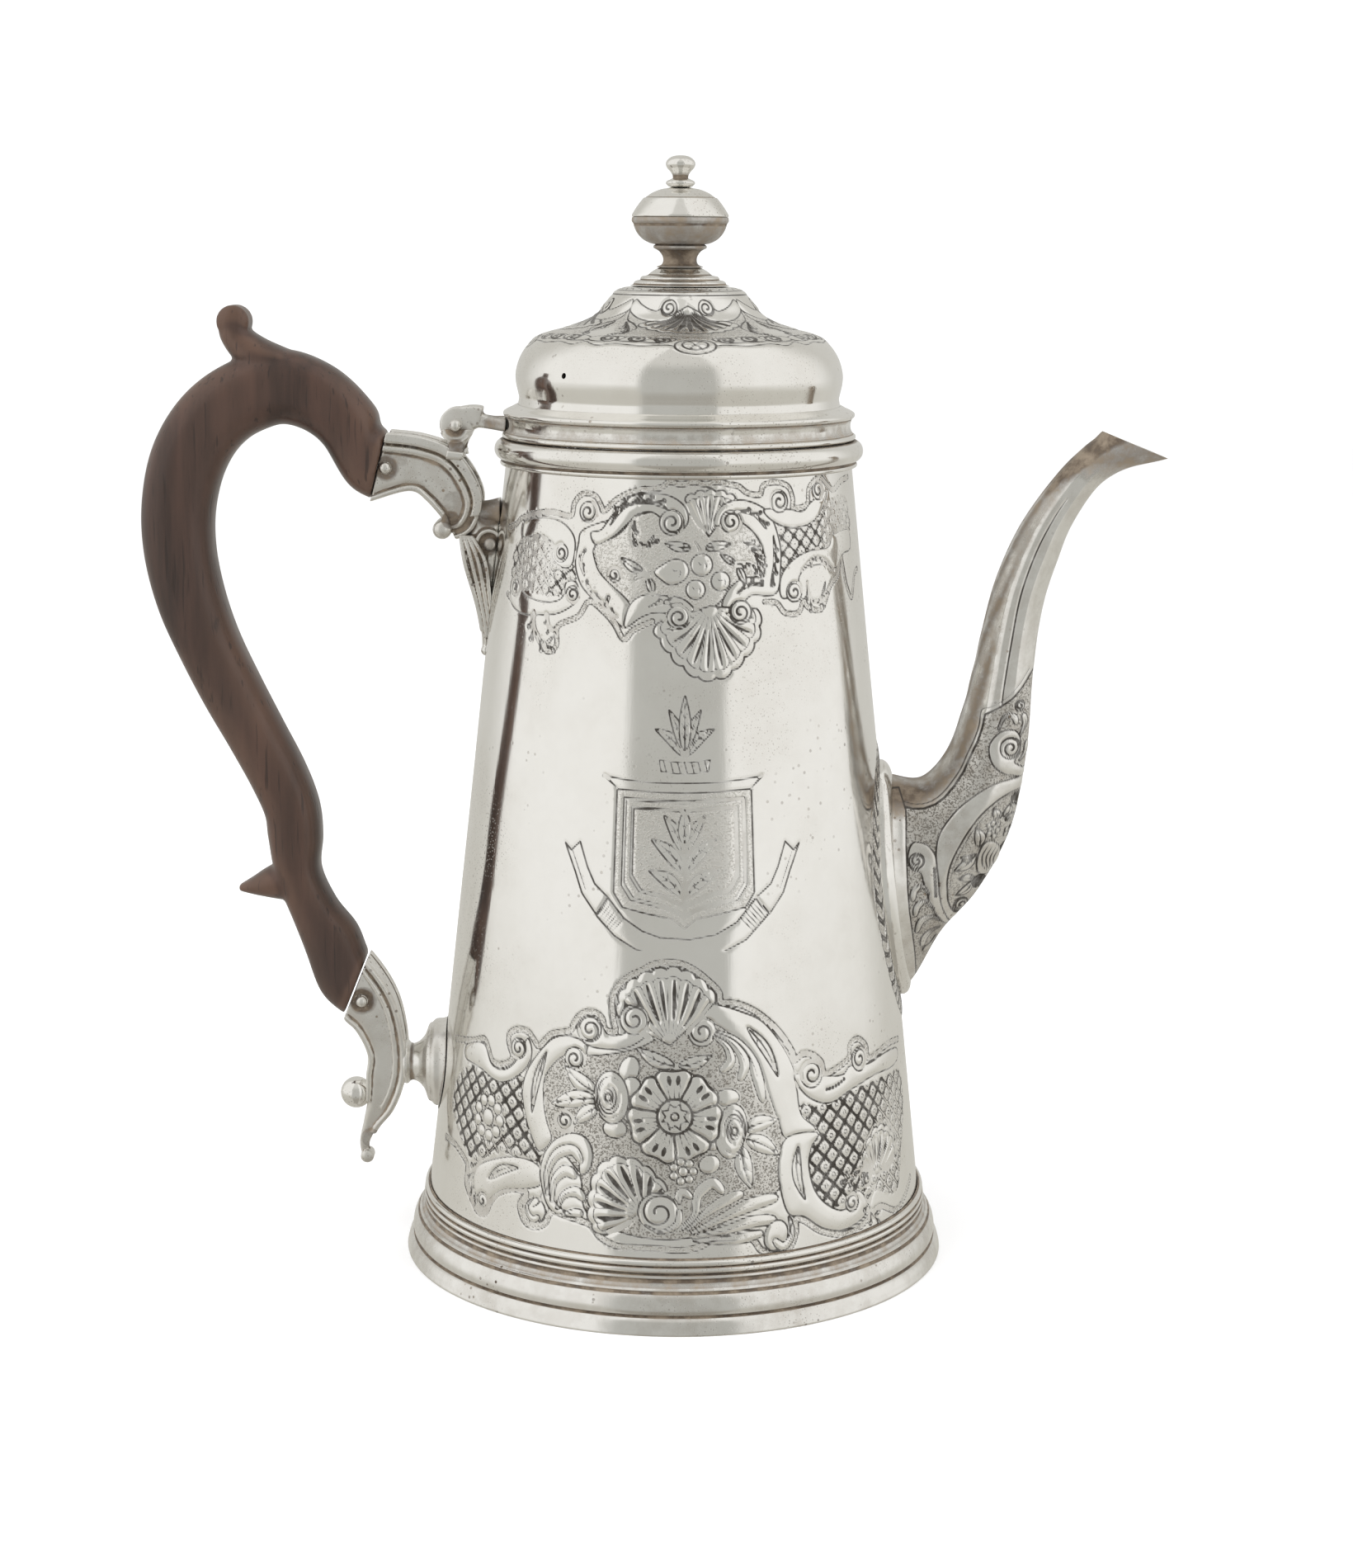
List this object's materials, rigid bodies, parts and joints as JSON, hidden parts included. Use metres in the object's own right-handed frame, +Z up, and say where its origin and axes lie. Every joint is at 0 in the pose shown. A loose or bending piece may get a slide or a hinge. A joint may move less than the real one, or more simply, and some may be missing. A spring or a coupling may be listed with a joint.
{
  "type": "coffee pot",
  "caption": "Tapering silver coffee pot with a hinged domed lid, baluster finial, swan-neck spout and scrolled wooden handle held in two metal sockets.",
  "frame": {"origin": "on the table, under the middle of the pot's overall length and width", "axes": "+Z up, +X towards the spout, -X towards the handle, +Y to the pot's left side"},
  "size_m": [0.226, 0.1226, 0.245],
  "materials": {
    "silver": "polished",
    "cast_silver": "gloss",
    "fruitwood": "satin"
  },
  "bodies": {
    "pot": {"body_shell": "silver", "base_plate": "silver", "foot_ring": "silver", "foot_wire": "silver", "rim_moulding": "silver", "spout": "silver", "spout_apron": "silver", "upper_bracket": "cast_silver", "upper_socket": "cast_silver", "upper_handle_pin": "cast_silver", "hinge_stem": "cast_silver", "hinge_pin": "cast_silver", "wood_handle": "fruitwood", "lower_socket": "cast_silver", "lower_scroll_bead": "cast_silver", "lower_handle_pin": "cast_silver", "lower_boss": "cast_silver"},
    "lid": {"lid_cover": "silver", "lid_flange": "silver", "lid_bezel": "silver", "finial_foot": "cast_silver", "finial_lower": "cast_silver", "finial_upper": "cast_silver", "finial_button": "cast_silver", "hinge_lid_leaf": "cast_silver"}
  },
  "joints": [
    {"name": "lid_hinge", "type": "hinge", "parent": "pot", "child": "lid", "pos_m": [-0.04318, 0, 0.1871], "axis": [0, -1, 0], "range_deg": [0, 95]}
  ]
}
